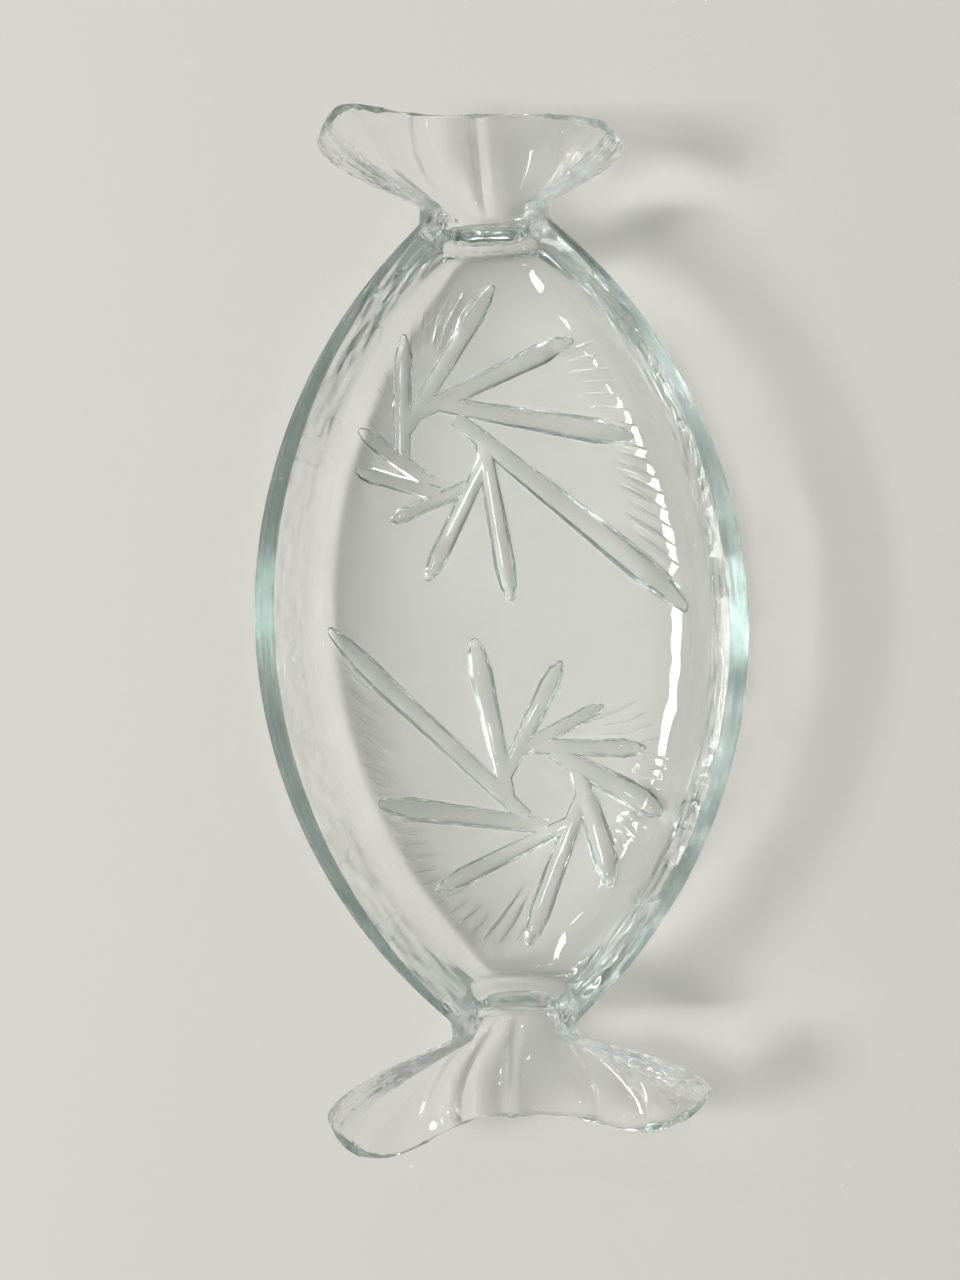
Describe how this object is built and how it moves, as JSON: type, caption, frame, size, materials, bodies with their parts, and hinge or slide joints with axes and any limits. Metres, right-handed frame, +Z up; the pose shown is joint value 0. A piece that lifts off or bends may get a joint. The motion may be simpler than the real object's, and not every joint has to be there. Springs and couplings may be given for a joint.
{
  "type": "sweet-shaped glass dish",
  "caption": "Clear pressed-glass dish shaped like a wrapped sweet: an oval bowl with pinwheel flutes under its floor, and a fluted fan at each end.",
  "frame": {"origin": "on the table, in the middle of the base's flat underside", "axes": "+X along the dish towards its smaller fan, +Y across it, +Z up"},
  "size_m": [0.2838, 0.13, 0.048],
  "materials": {
    "crystal": "clear pressed glass, fire-polished, with a faint green-blue tint in its edges"
  },
  "bodies": {
    "root": {"bowl_floor": "crystal", "bowl_wall_left": "crystal", "bowl_wall_right": "crystal", "rim_left": "crystal", "rim_right": "crystal", "end_wall_north": "crystal", "end_wall_south": "crystal", "neck_north": "crystal", "neck_south": "crystal", "wrapper_fan_north": "crystal", "wrapper_fan_south": "crystal"}
  },
  "joints": []
}
